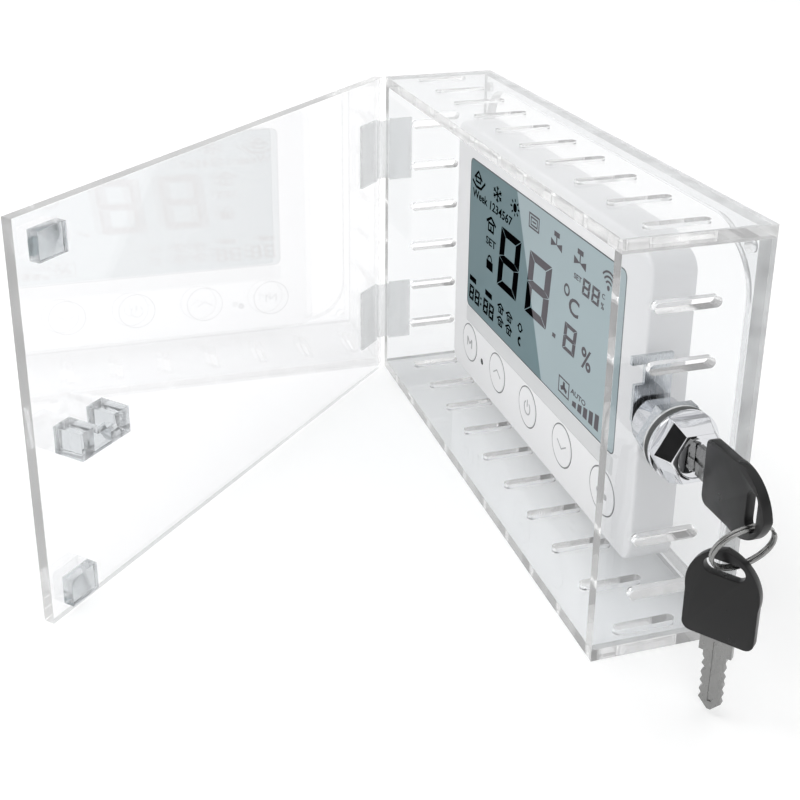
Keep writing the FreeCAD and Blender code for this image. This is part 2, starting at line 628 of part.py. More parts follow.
def housing_screws():
    """Four screws that hold the two halves together."""
    screws = []
    for post in corner_posts(1.05, COVER_FRONT_Y - 6, BODY_BACK_Y, 8.5):
        middle = post.CenterOfMass
        head = rod(2.4, 1.5, Vector(middle.x, BODY_BACK_Y, middle.z), Y_AXIS)
        cross = block(middle.x - 1.5, middle.x + 1.5, BODY_BACK_Y + 0.8, BODY_BACK_Y + 2, middle.z - 0.3, middle.z + 0.3)
        screws.append(join([post, head]).cut(cross))
    return Part.makeCompound(screws)


def wall_plate():
    """The plate the thermostat hangs on, slotted for two screws and open for the wiring."""
    plate = rounded_plate(PLATE_WIDTH, PLATE_HEIGHT, REAR_BACK_Y, 0, 4.0)
    opening = rounded_plate(60, 52, REAR_BACK_Y - 1, 1, 3.0, (0.0, -6.0))
    slots = [slot(PLATE_SLOT_LENGTH, 2 * PLATE_SLOT_R, Vector(side * PLATE_SLOT_SPACING / 2, -1.5, 0), X_AXIS,
                  Y_AXIS, 6) for side in (-1, 1)]
    return drill(plate, [opening] + slots)


def thermostat():
    """Every piece of the thermostat."""
    save("thermostat_housing", housing())
    display()
    for index, name in enumerate(BUTTON_NAMES):
        save("button_" + name, button(index))
    electronics()
    terminals()
    save("thermostat_back_cover", back_cover())
    save("housing_screws", housing_screws())
    save("thermostat_wall_plate", wall_plate())


guard()
door()
for hinge_name, hinge_middle in HINGE_MIDDLES.items():
    hinge(hinge_name, hinge_middle)
lock()
keys()
thermostat()
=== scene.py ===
"""Wall thermostat in a lockable clear guard: its finishes, display, key marks and studio."""
import math

import bmesh
import bpy
from bpy.props import FloatProperty, FloatVectorProperty, PointerProperty
from mathutils import Matrix, Vector


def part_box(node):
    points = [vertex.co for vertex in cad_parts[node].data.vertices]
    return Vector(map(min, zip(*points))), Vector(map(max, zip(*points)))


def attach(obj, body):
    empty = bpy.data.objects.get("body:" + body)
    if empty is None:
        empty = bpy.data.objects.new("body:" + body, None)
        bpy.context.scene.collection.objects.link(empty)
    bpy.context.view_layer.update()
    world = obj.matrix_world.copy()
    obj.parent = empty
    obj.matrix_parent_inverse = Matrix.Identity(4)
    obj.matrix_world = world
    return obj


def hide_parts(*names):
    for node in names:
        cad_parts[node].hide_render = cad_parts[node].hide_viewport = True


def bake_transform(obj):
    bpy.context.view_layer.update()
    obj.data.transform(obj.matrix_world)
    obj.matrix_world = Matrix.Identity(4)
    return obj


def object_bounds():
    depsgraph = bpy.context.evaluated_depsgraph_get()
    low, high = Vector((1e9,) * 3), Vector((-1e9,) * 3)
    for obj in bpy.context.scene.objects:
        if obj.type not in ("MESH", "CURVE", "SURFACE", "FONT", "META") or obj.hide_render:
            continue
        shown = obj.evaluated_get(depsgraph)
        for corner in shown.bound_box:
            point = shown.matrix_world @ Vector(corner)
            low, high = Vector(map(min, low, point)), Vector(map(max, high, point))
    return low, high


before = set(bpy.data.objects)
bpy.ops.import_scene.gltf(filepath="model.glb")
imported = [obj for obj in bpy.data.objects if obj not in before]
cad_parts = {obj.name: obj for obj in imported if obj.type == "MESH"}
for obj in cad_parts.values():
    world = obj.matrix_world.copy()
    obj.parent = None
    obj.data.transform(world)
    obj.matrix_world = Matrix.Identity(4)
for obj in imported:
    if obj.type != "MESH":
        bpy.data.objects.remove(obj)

bl_info = {
    "name": "Guarded Thermostat",
    "version": (1, 0, 0),
    "blender": (4, 5, 0),
    "location": "View3D > Sidebar > Guarded Thermostat",
    "description": "Finishes the clear guard, the thermostat, the lock and its keys",
    "category": "Object",
}

MM = 0.001
GUARD_BODY = "cabinet"
DOOR_BODY = "door"
CAD_BOX = [list(corner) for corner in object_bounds()]


# ---------------------------------------------------------------- colour and node helpers

def linear(code):
    """A hex sRGB colour as linear red, green, blue and alpha."""
    channels = [int(code[i:i + 2], 16) / 255 for i in (0, 2, 4)]
    return tuple(c / 12.92 if c <= 0.04045 else ((c + 0.055) / 1.055) ** 2.4 for c in channels) + (1.0,)


def colour(code):
    """A hex sRGB colour as a colour property's default."""
    return linear(code)[:3]


def add_node(tree, kind, settings=(), links=()):
    """Adds a node. Settings go to its properties or its sockets; links are (socket, source) pairs."""
    node = tree.nodes.new(kind)
    for name, value in dict(settings).items():
        if isinstance(name, str) and hasattr(node, name):
            setattr(node, name, value)
        else:
            node.inputs[name].default_value = value
    for name, source in dict(links).items():
        tree.links.new(source, node.inputs[name])
    return node


def new_material(name, settings):
    """A material with one Principled shader. Returns the material, its tree and the shader."""
    material = bpy.data.materials.new(name)
    material.use_nodes = True
    tree = material.node_tree
    tree.nodes.clear()
    shader = add_node(tree, "ShaderNodeBsdfPrincipled", settings)
    add_node(tree, "ShaderNodeOutputMaterial", {}, {"Surface": shader.outputs[0]})
    return material, tree, shader


def object_noise(tree, size_mm, detail=2.0, stretch=(1.0, 1.0, 1.0)):
    """Noise on Object coordinates whose grains are about size_mm across."""
    place = add_node(tree, "ShaderNodeTexCoord")
    mapping = add_node(tree, "ShaderNodeMapping", {"Scale": stretch}, {"Vector": place.outputs["Object"]})
    return add_node(tree, "ShaderNodeTexNoise", {"Scale": 1 / (size_mm * MM), "Detail": detail},
                    {"Vector": mapping.outputs[0]})


def vary(tree, shader, socket, noise, low, high):
    """Drives one of the shader's sockets between low and high with a noise."""
    spread = add_node(tree, "ShaderNodeMapRange",
                      {"From Min": 0.3, "From Max": 0.7, "To Min": low, "To Max": high},
                      {"Value": noise.outputs["Fac"]})
    tree.links.new(spread.outputs[0], shader.inputs[socket])


def tint(tree, shader, noise, dark, light):
    """Drives the shader's colour between two close colours with a noise."""
    mix = add_node(tree, "ShaderNodeMix", {"data_type": "RGBA"}, {"Factor": noise.outputs["Fac"]})
    mix.inputs[6].default_value = dark
    mix.inputs[7].default_value = light
    tree.links.new(mix.outputs[2], shader.inputs["Base Color"])


def roughen(tree, shader, noise, depth_mm, strength=1.0):
    """Gives the shader a relief of that depth from a noise."""
    bump = add_node(tree, "ShaderNodeBump", {"Distance": depth_mm * MM, "Strength": strength},
                    {"Height": noise.outputs["Fac"]})
    tree.links.new(bump.outputs[0], shader.inputs["Normal"])


def shade(colour_value, factor):
    """A colour made lighter or darker, with its alpha kept."""
    return tuple(min(1.0, c * factor) for c in colour_value[:3]) + (1.0,)


# ---------------------------------------------------------------- materials

def lets_light_through(tree, shader):
    """Lets lamp light pass straight through a clear piece, so what is behind it isn't in its shadow."""
    output = next(n for n in tree.nodes if n.type == "OUTPUT_MATERIAL")
    path = add_node(tree, "ShaderNodeLightPath")
    clear = add_node(tree, "ShaderNodeBsdfTransparent", {"Color": (0.97, 0.975, 0.975, 1.0)})
    mix = add_node(tree, "ShaderNodeMixShader", {}, {"Fac": path.outputs["Is Shadow Ray"]})
    tree.links.new(shader.outputs[0], mix.inputs[1])
    tree.links.new(clear.outputs[0], mix.inputs[2])
    tree.links.new(mix.outputs[0], output.inputs["Surface"])


def cast_acrylic(name, tint_colour, hard_coat=0.0, clarity=1.0):
    """Clear cast acrylic: crisp reflections, stronger under a hard coat, and very slightly wavy."""
    material, tree, shader = new_material(name, {
        "Base Color": (*tint_colour, 1.0), "Roughness": 0.0, "IOR": 1.49, "Transmission Weight": clarity,
        "Coat Weight": hard_coat, "Coat Roughness": 0.0, "Coat IOR": 1.7})
    roughen(tree, shader, object_noise(tree, 45.0, 1.0), 0.02, 0.1)
    lets_light_through(tree, shader)
    return material


def cut_edge(name, pale, painted_dark_colour, length_mm, painted_glow):
    """The cut edges of acrylic sheet, with painted light: a constant white emission as a painted glow, and
    dark lengths among pale ones as painted reflections.
    """
    material, tree, shader = new_material(name, {
        "Base Color": (*pale, 1.0), "Roughness": 0.04, "IOR": 1.49, "Transmission Weight": 0.72,
        "Emission Color": (1.0, 1.0, 1.0, 1.0), "Emission Strength": painted_glow})
    tint(tree, shader, object_noise(tree, length_mm, 1.0), painted_dark_colour, shade(pale, 1.0))
    roughen(tree, shader, object_noise(tree, 1.5, 3.0), 0.03, 0.3)
    lets_light_through(tree, shader)
    return material


def hinge_film(tint_colour):
    """Moulded polypropylene film: milky, so it shows pale grey against the clear sheet."""
    material, tree, shader = new_material("polypropylene_film", {
        "Base Color": (*tint_colour, 1.0), "Roughness": 0.2, "IOR": 1.49, "Alpha": 0.45,
        "Transmission Weight": 0.6})
    flow = object_noise(tree, 2.4, 2.0, (1.0, 1.0, 0.12))
    roughen(tree, shader, flow, 0.12, 0.9)
    tint(tree, shader, flow, shade(tint_colour, 0.72), shade(tint_colour, 1.1))
    return material


def bright_chrome(metal_colour):
    """Polished chrome on die-cast zinc: a hard mirror with a faint softening where it is handled."""
    material, tree, shader = new_material("chrome_plate", {
        "Base Color": (*metal_colour, 1.0), "Metallic": 1.0, "Roughness": 0.05})
    vary(tree, shader, "Roughness", object_noise(tree, 3.0, 4.0), 0.03, 0.09)
    return material


def zinc_plate():
    """Bright zinc plate on pressed steel: duller than chrome, with a fine directional grain."""
    material, tree, shader = new_material("zinc_plated_steel", {
        "Base Color": linear("C9CCD0"), "Metallic": 1.0, "Roughness": 0.3})
    grain = object_noise(tree, 0.5, 3.0, (1.0, 1.0, 0.08))
    vary(tree, shader, "Roughness", grain, 0.16, 0.3)
    tint(tree, shader, object_noise(tree, 4.0), linear("BCC0C4"), linear("D4D7DA"))
    return material


def key_steel():
    """Nickel-plated steel key blank: satin, with milling lines across the blade."""
    material, tree, shader = new_material("nickel_plated_steel", {
        "Base Color": linear("8F8F8E"), "Metallic": 1.0, "Roughness": 0.25})
    lines = object_noise(tree, 1.6, 3.0, (1.0, 1.0, 0.3))
    vary(tree, shader, "Roughness", lines, 0.16, 0.36)
    roughen(tree, shader, lines, 0.012, 0.5)
    return material


def key_plastic(bow_colour):
    """Injection moulded black ABS: satin, with the fine grain of a spark-eroded mould."""
    material, tree, shader = new_material("moulded_black_abs", {
        "Base Color": (*bow_colour, 1.0), "Roughness": 0.34, "IOR": 1.53, "Specular IOR Level": 0.35})
    roughen(tree, shader, object_noise(tree, 0.35), 0.02, 0.5)
    vary(tree, shader, "Roughness", object_noise(tree, 6.0, 3.0), 0.26, 0.4)
    return material


def white_abs(name, case_colour, roughness=0.42):
    """Moulded white ABS: a soft sheen over a fine even grain, and no visible colour variation."""
    material, tree, shader = new_material(name, {
        "Base Color": (*case_colour, 1.0), "Roughness": roughness, "IOR": 1.53})
    tint(tree, shader, object_noise(tree, 30.0), shade(case_colour, 0.985), shade(case_colour, 1.0))
    roughen(tree, shader, object_noise(tree, 0.4), 0.012, 0.4)
    return material


def sheen_edge(tree, offset_mm, lean, blur_mm):
    """0 to 1 across the slanted line where the display's painted sheen begins, paler to its right."""
    place = add_node(tree, "ShaderNodeTexCoord")
    split = add_node(tree, "ShaderNodeSeparateXYZ", {}, {0: place.outputs["Object"]})
    slope = add_node(tree, "ShaderNodeMath", {"operation": "MULTIPLY_ADD", 1: lean, 2: -offset_mm * MM},
                     {0: split.outputs["Z"]})
    along = add_node(tree, "ShaderNodeMath", {"operation": "ADD"},
                     {0: split.outputs["X"], 1: slope.outputs[0]})
    return add_node(tree, "ShaderNodeMapRange",
                    {"From Min": -blur_mm * MM, "From Max": blur_mm * MM}, {"Value": along.outputs[0]})


def painted_sheen_tones(name, dark, light, look, roughness, gloss):
    """A display surface with a painted sheen: one tone on each side of a slanted line, the paler one a
    painted reflection.
    """
    material, tree, shader = new_material(name, {
        "Roughness": roughness, "IOR": 1.5, "Specular IOR Level": gloss})
    edge = sheen_edge(tree, look.sheen_offset / MM, look.sheen_lean, 0.35)
    cloud = object_noise(tree, 60.0, 1.0)
    mix = add_node(tree, "ShaderNodeMix", {"data_type": "RGBA"}, {"Factor": edge.outputs[0]})
    mix.inputs[6].default_value = (*dark, 1.0)
    mix.inputs[7].default_value = (*light, 1.0)
    level = add_node(tree, "ShaderNodeMapRange", {"To Min": 0.93, "To Max": 1.07},
                     {"Value": cloud.outputs["Fac"]})
    drift = add_node(tree, "ShaderNodeVectorMath", {"operation": "SCALE"},
                     {0: mix.outputs[2], "Scale": level.outputs[0]})
    tree.links.new(drift.outputs[0], shader.inputs["Base Color"])
    return material


def print_and_painted_shade_ink(name, ink_colour):
    """Matt ink, slightly uneven in density: pad print, and painted shade where it rings the buttons."""
    material, tree, shader = new_material(name, {"Base Color": (*ink_colour, 1.0), "Roughness": 0.55})
    tint(tree, shader, object_noise(tree, 0.6, 3.0), shade(ink_colour, 0.9), shade(ink_colour, 1.08))
    return material


def smoked_window():
    """Polished black polycarbonate over the status lamp."""
    material, tree, shader = new_material("smoked_polycarbonate", {
        "Base Color": linear("0A0A0B"), "Roughness": 0.08, "IOR": 1.58})
    vary(tree, shader, "Roughness", object_noise(tree, 1.0), 0.06, 0.14)
    return material


def solder_mask():
    """Green solder mask on glass laminate, with the copper tracks just showing through."""
    material, tree, shader = new_material("solder_mask_laminate", {
        "Base Color": linear("1E5B35"), "Roughness": 0.3, "IOR": 1.5, "Coat Weight": 0.3})
    tracks = object_noise(tree, 3.0, 0.0, (1.0, 1.0, 0.25))
    tint(tree, shader, tracks, linear("174A2B"), linear("2A7346"))
    return material


def moulded_part(name, code, roughness=0.4):
    """A small moulded component: one pigment with a fine grain."""
    material, tree, shader = new_material(name, {"Base Color": linear(code), "Roughness": roughness})
    tint(tree, shader, object_noise(tree, 0.8), shade(linear(code), 0.9), shade(linear(code), 1.06))
    roughen(tree, shader, object_noise(tree, 0.3), 0.01, 0.4)
    return material


def light_guide_acrylic():
    """Edge-lit acrylic plate with a white diffusing film behind it."""
    material, tree, shader = new_material("light_guide_acrylic", {
        "Base Color": linear("DDE7E6"), "Roughness": 0.2, "IOR": 1.49})
    vary(tree, shader, "Roughness", object_noise(tree, 0.7), 0.15, 0.3)
    return material


def striped_rubber():
    """Silicone strip with fine carbon stripes that carry the display's contacts."""
    material, tree, shader = new_material("striped_contact_rubber", {"Roughness": 0.6})
    stripes = object_noise(tree, 0.5, 0.0, (1.0, 0.02, 0.02))
    tint(tree, shader, stripes, linear("1A1A1A"), linear("8F8F8A"))
    return material


# ---------------------------------------------------------------- mesh helpers

def finish_piece(name, mesh_data, material, body, smooth_angle=None):
    """Makes an object of a bmesh, at the origin, that rides on a body."""
    bmesh.ops.recalc_face_normals(mesh_data, faces=mesh_data.faces)
    mesh = bpy.data.meshes.new(name)
    mesh_data.to_mesh(mesh)
    mesh_data.free()
    piece = bpy.data.objects.new(name, mesh)
    bpy.context.scene.collection.objects.link(piece)
    mesh.materials.append(material)
    if smooth_angle is not None:
        mesh.shade_smooth()
        mesh.set_sharp_from_angle(angle=math.radians(smooth_angle))
    if body:
        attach(piece, body)
    return piece


def paint(nodes, material):
    """Gives CAD nodes their material."""
    for node in nodes:
        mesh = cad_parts[node].data
        mesh.materials.clear()
        mesh.materials.append(material)


def solid_copy(node):
    """A CAD node's shape as a bmesh of whole faces, with its doubles merged."""
    solid = bmesh.new()
    solid.from_mesh(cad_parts[node].data)
    bmesh.ops.remove_doubles(solid, verts=solid.verts, dist=0.001 * MM)
    bmesh.ops.dissolve_limit(solid, angle_limit=math.radians(0.5), verts=solid.verts, edges=solid.edges)
    return solid


def soften_edges(solid, width_mm, sharper_than=50.0, segments=2):
    """Rounds the edges that turn by more than an angle."""
    edges = [e for e in solid.edges if e.is_manifold and e.calc_face_angle(0.0) > math.radians(sharper_than)]
    bmesh.ops.bevel(solid, geom=edges, offset=width_mm * MM, affect="EDGES", segments=segments,
                    profile=0.5, material=-1, clamp_overlap=True)


def rounded(node, body, material, width_mm, sharper_than=40.0, segments=3):
    """Stands in for a CAD node with the same shape, its sharp edges rounded as moulding or polishing does."""
    solid = solid_copy(node)
    soften_edges(solid, width_mm, sharper_than, segments)
    piece = finish_piece("finished_" + node, solid, material, body, 32)
    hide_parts(node)
    return piece


def plate(mesh_data, corners, back_y, front_y):
    """A flat plate facing the front: its outline in X and Z, between two Y values."""
    verts = [mesh_data.verts.new((x, back_y, z)) for x, z in corners]
    face = mesh_data.faces.new(verts)
    grown = bmesh.ops.extrude_face_region(mesh_data, geom=[face])["geom"]
    moved = [item for item in grown if isinstance(item, bmesh.types.BMVert)]
    bmesh.ops.translate(mesh_data, verts=moved, vec=(0, front_y - back_y, 0))


def arc(mesh_data, centre, radius, width, start_deg, end_deg, back_y, front_y, steps=None):
    """A flat curved bar: a rectangle spun about an axis along Y. Angles go from +X towards +Z."""
    cx, cz = centre
    section = [(radius - width / 2, back_y), (radius + width / 2, back_y),
               (radius + width / 2, front_y), (radius - width / 2, front_y)]
    verts = [mesh_data.verts.new((cx + r, y, cz)) for r, y in section]
    face = mesh_data.faces.new(verts)
    pivot = Vector((cx, 0, cz))
    bmesh.ops.rotate(mesh_data, verts=verts, cent=pivot,
                     matrix=Matrix.Rotation(-math.radians(start_deg), 3, "Y"))
    turn_deg = end_deg - start_deg
    section_parts = verts + list(face.edges) + [face]
    closed = turn_deg >= 360
    if closed:
        section_parts.remove(face)
        bmesh.ops.delete(mesh_data, geom=[face], context="FACES_ONLY")
    bmesh.ops.spin(mesh_data, geom=section_parts, cent=pivot, axis=(0, -1, 0), angle=math.radians(turn_deg),
                   steps=steps or max(6, int(turn_deg / 9)), use_merge=closed)


def bar(mesh_data, start, end, width, back_y, front_y):
    """A straight bar between two points in X and Z."""
    along = (Vector(end) - Vector(start)).normalized()
    side = Vector((-along.y, along.x)) * width / 2
    a, b = Vector(start), Vector(end)
    plate(mesh_data, [a - side, b - side, b + side, a + side], back_y, front_y)


def disc(mesh_data, centre, radius, back_y, front_y, sides=24):
    """A flat round plate."""
    cx, cz = centre
    bmesh.ops.create_cone(
        mesh_data, cap_ends=True, segments=sides, radius1=radius, radius2=radius, depth=abs(back_y - front_y),
        matrix=Matrix.Translation((cx, (back_y + front_y) / 2, cz)) @ Matrix.Rotation(math.pi / 2, 4, "X"))


def box_plate(mesh_data, low, high, back_y, front_y):
    """A rectangular plate between two corners in X and Z."""
    (x0, z0), (x1, z1) = low, high
    plate(mesh_data, [(x0, z0), (x1, z0), (x1, z1), (x0, z1)], back_y, front_y)


def hollow_box(mesh_data, low, high, width, back_y, front_y):
    """A rectangular outline of four plates."""
    (x0, z0), (x1, z1) = low, high
    for corner, far_corner in (((x0, z0), (x1, z0 + width)), ((x0, z1 - width), (x1, z1)),
                               ((x0, z0 + width), (x0 + width, z1 - width)),
                               ((x1 - width, z0 + width), (x1, z1 - width))):
        box_plate(mesh_data, corner, far_corner, back_y, front_y)


def text_piece(name, words, low_left, height, width_scale, back_y, front_y, lean=0.0):
    """Letters as a mesh standing on a front face: their low left corner in X and Z, and their height."""
    curve = bpy.data.curves.new(name, "FONT")
    curve.body = words
    curve.size = 1.0
    curve.shear = lean
    curve.extrude = 0.5
    curve.offset = 0.018
    curve.resolution_u = 3
    holder = bpy.data.objects.new(name, curve)
    bpy.context.scene.collection.objects.link(holder)
    bpy.context.view_layer.update()
    mesh = bpy.data.meshes.new_from_object(holder.evaluated_get(bpy.context.evaluated_depsgraph_get()))
    bpy.data.objects.remove(holder)
    letters = bmesh.new()
    letters.from_mesh(mesh)
    bpy.data.meshes.remove(mesh)
    bmesh.ops.remove_doubles(letters, verts=letters.verts, dist=1e-5)
    low_x = min(vert.co.x for vert in letters.verts)
    heights = [vert.co.y for vert in letters.verts]
    scale = height / (max(heights) - min(heights))
    low_y = min(heights)
    thick = abs(back_y - front_y)
    for vert in letters.verts:
        x, y, z = vert.co
        vert.co = (low_left[0] + (x - low_x) * scale * width_scale, (back_y + front_y) / 2 - z * thick,
                   low_left[1] + (y - low_y) * scale)
    return letters


# ---------------------------------------------------------------- properties

def colour_setting(name, description, code):
    """A colour that a user can change."""
    return FloatVectorProperty(name=name, description=description, subtype="COLOR", default=colour(code))


def length_setting(name, description, millimetres):
    """A length that a user can change."""
    return FloatProperty(name=name, description=description, subtype="DISTANCE", unit="LENGTH",
                         default=millimetres * MM)


def power_setting(name, description, watts):
    """A lamp's power that a user can change."""
    return FloatProperty(name=name, description=description, subtype="POWER", unit="POWER", default=watts)


class GuardLook(bpy.types.PropertyGroup):
    acrylic: colour_setting("Acrylic", "Tint of the box's clear sheets", "F3F4F5")
    door: colour_setting("Door", "Tint of the door's clear sheet", "FCFCFD")
    edge: colour_setting("Cut edges", "Colour of the sheet's cut edges", "FFFFFF")
    edge_round: length_setting("Edge rounding", "Radius of the polished edges", 0.25)
    film: colour_setting("Hinge film", "Colour of the hinge film", "ECEEEF")
    block: colour_setting("Blocks", "Tint of the door's thick blocks", "D8DBDD")


class DisplayLook(bpy.types.PropertyGroup):
    # Dark and pale sides are painted sheen: right of the slanted line the display and its segments are paler,
    # as a painted reflection.
    dark_glass: colour_setting("Dark side", "Display colour left of the slanted line", "657C81")
    pale_glass: colour_setting("Pale side", "Display colour right of the slanted line", "A1B0B4")
    dark_segment: colour_setting("Dark segments", "Segments on the dark side", "030304")
    pale_segment: colour_setting("Pale segments", "Segments on the pale side", "656266")
    sheen_offset: length_setting("Line position", "Where the slanted line crosses Z = 0", 1.5)
    sheen_lean: FloatProperty(name="Line lean", description="Run of the slanted line for each unit of height",
                              default=0.46)
    ink_depth: length_setting("Legend thickness", "How far the legends stand proud", 0.05)


class CaseLook(bpy.types.PropertyGroup):
    case: colour_setting("Case", "White plastic of the thermostat", "E9E9EA")
    trim: colour_setting("Strip", "Strip below the display", "CFD0D1")
    # The outline is painted shade: a grey ring for the shadow in the gap round each button.
    outline: colour_setting("Outline", "Ring round each button", "77787A")
    mark: colour_setting("Marks", "Symbols on the buttons", "A9A9AB")
    outline_width: length_setting("Outline width", "Width of the ring round each button", 0.48)


class LockLook(bpy.types.PropertyGroup):
    chrome: colour_setting("Chrome", "Colour of the lock's plating", "DADBDE")
    bow: colour_setting("Key bow", "Plastic of the key bows", "070708")


class StudioLook(bpy.types.PropertyGroup):
    floor: colour_setting("Floor", "Pale floor", "FAFAFA")
    key_power: power_setting("Key light", "Power of the large soft light", 9.0)
    fill_power: power_setting("Fill light", "Power of the second soft light", 3.0)


# ---------------------------------------------------------------- the guard

class FinishGuard(bpy.types.Operator):
    """Makes the guard's sheets, door and blocks of clear acrylic."""
    bl_idname = "thermostat.finish_guard"
    bl_label = "Finish guard"

    def execute(self, context):
        look = context.scene.guard_look
        acrylic = cast_acrylic("cast_acrylic_sheet", look.acrylic)
        coated = cast_acrylic("hard_coated_acrylic_sheet", look.door, 1.0)
        # Both edge finishes carry painted light, a white emission glow and dark lengths of painted
        # reflection. The door's edge glows more, and its dark lengths are darker and longer.
        edge = cut_edge("cut_edge_painted_light", look.edge, shade(look.edge, 0.5), 9.0, 0.09)
        door_edge = cut_edge("door_edge_painted_light", look.edge, shade(look.edge, 0.22), 22.0, 0.26)
        block = cast_acrylic("cast_acrylic_block", look.block, 0.0, 0.9)
        for node in ("door_stop_upper", "door_stop_lower", "door_keeper"):
            rounded(node, DOOR_BODY, block, 0.1)
        for side in ("top_sheet", "bottom_sheet", "left_sheet", "right_sheet", "back_frame"):
            self.sheet("guard_" + side, GUARD_BODY, acrylic, edge, look.edge_round)
        self.sheet("door_sheet", DOOR_BODY, coated, door_edge, look.edge_round)
        return {"FINISHED"}

    def sheet(self, node, body, acrylic, edge, edge_round):
        """A sheet whose cut edges are slightly rounded and have their own finish."""
        solid = solid_copy(node)
        broad = max(solid.faces, key=lambda face: face.calc_area()).normal.copy()
        soften_edges(solid, edge_round / MM)
        solid.normal_update()
        for face in solid.faces:
            is_broad = abs(face.normal.dot(broad)) > 0.95
            face.material_index = 0 if is_broad else 1
        piece = finish_piece(node.replace("guard_", "clear_").replace("door_", "clear_door_"), solid,
                             acrylic, body)
        piece.data.materials.append(edge)
        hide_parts(node)


class FinishHinges(bpy.types.Operator):
    """Makes the hinges of film, with a web between the wall and the door."""
    bl_idname = "thermostat.finish_hinges"
    bl_label = "Finish hinges"

    def execute(self, context):
        film = hinge_film(context.scene.guard_look.film)
        for level in ("upper", "lower"):
            rounded("hinge_wall_leaf_" + level, GUARD_BODY, film, 0.2)
            rounded("hinge_door_leaf_" + level, DOOR_BODY, film, 0.2)
            self.bending_web(level, film)
        return {"FINISHED"}

    def bending_web(self, level, film):
        """A thin strip cut into short lengths."""
        low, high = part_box("hinge_web_" + level)
        wall_low, wall_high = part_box("hinge_wall_leaf_" + level)
        wall_end = Vector(((wall_low[0] + wall_high[0]) / 2, wall_low[1], 0))
        door_end = Vector(((low[0] + high[0]) / 2, low[1], 0))
        run = door_end - wall_end
        film_thick = 0.5 * MM
        half = Vector((-run.y, run.x, 0)).normalized() * film_thick / 2
        web = bmesh.new()
        corners = [wall_end - half, wall_end + half, door_end + half, door_end - half]
        face = web.faces.new([web.verts.new((c.x, c.y, low[2])) for c in corners])
        grown = bmesh.ops.extrude_face_region(web, geom=[face])["geom"]
        bmesh.ops.translate(web, verts=[v for v in grown if isinstance(v, bmesh.types.BMVert)],
                            vec=(0, 0, high[2] - low[2]))
        long_edges = [e for e in web.edges
                      if abs((e.verts[1].co - e.verts[0].co).normalized().dot(run.normalized())) > 0.99]
        bmesh.ops.subdivide_edges(web, edges=long_edges, cuts=9, use_grid_fill=True)
        piece = finish_piece("film_web_" + level, web, film, None, 40)
        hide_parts("hinge_web_" + level)
        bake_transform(piece)


# ---------------------------------------------------------------- the thermostat

class FinishCase(bpy.types.Operator):
    """Gives the thermostat's case, strip and wall plate their finishes."""
    bl_idname = "thermostat.finish_case"
    bl_label = "Finish case"

    def execute(self, context):
        look = context.scene.case_look
        white = white_abs("moulded_white_abs", look.case)
        paint(["thermostat_housing", "thermostat_back_cover"], white)
        paint([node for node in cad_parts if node.startswith("button_")],
              white_abs("button_white_abs", look.case, 0.36))
        paint(["trim_strip"], white_abs("trim_grey_abs", look.trim, 0.3))
        paint(["thermostat_wall_plate"], zinc_plate())
        paint(["status_window"], smoked_window())
        return {"FINISHED"}


class FinishInnerParts(bpy.types.Operator):
    """Gives the boards and components inside the thermostat their finishes."""
    bl_idname = "thermostat.finish_inner_parts"
    bl_label = "Finish inner parts"

    def execute(self, context):
        paint(["main_board"], solder_mask())
        paint(["display_light_guide"], light_guide_acrylic())
        paint(["display_contact_strips"], striped_rubber())
        paint(["relays"], moulded_part("relay_grey_nylon", "C3C5C7", 0.35))
        paint(["power_module"], moulded_part("potted_black_resin", "1B1B1D", 0.5))
        paint(["terminal_block"], moulded_part("terminal_green_nylon", "2F7A46", 0.45))
        paint(["controller_chip", "buzzer", "tact_switches"], moulded_part("black_epoxy", "161618", 0.45))
        paint(["radio_module"], moulded_part("radio_board_blue", "2A4A63", 0.35))
        paint(["temperature_sensor"], moulded_part("sensor_bead_epoxy", "2B2320", 0.3))
        paint(["terminal_screws", "housing_screws"], zinc_plate())
        return {"FINISHED"}


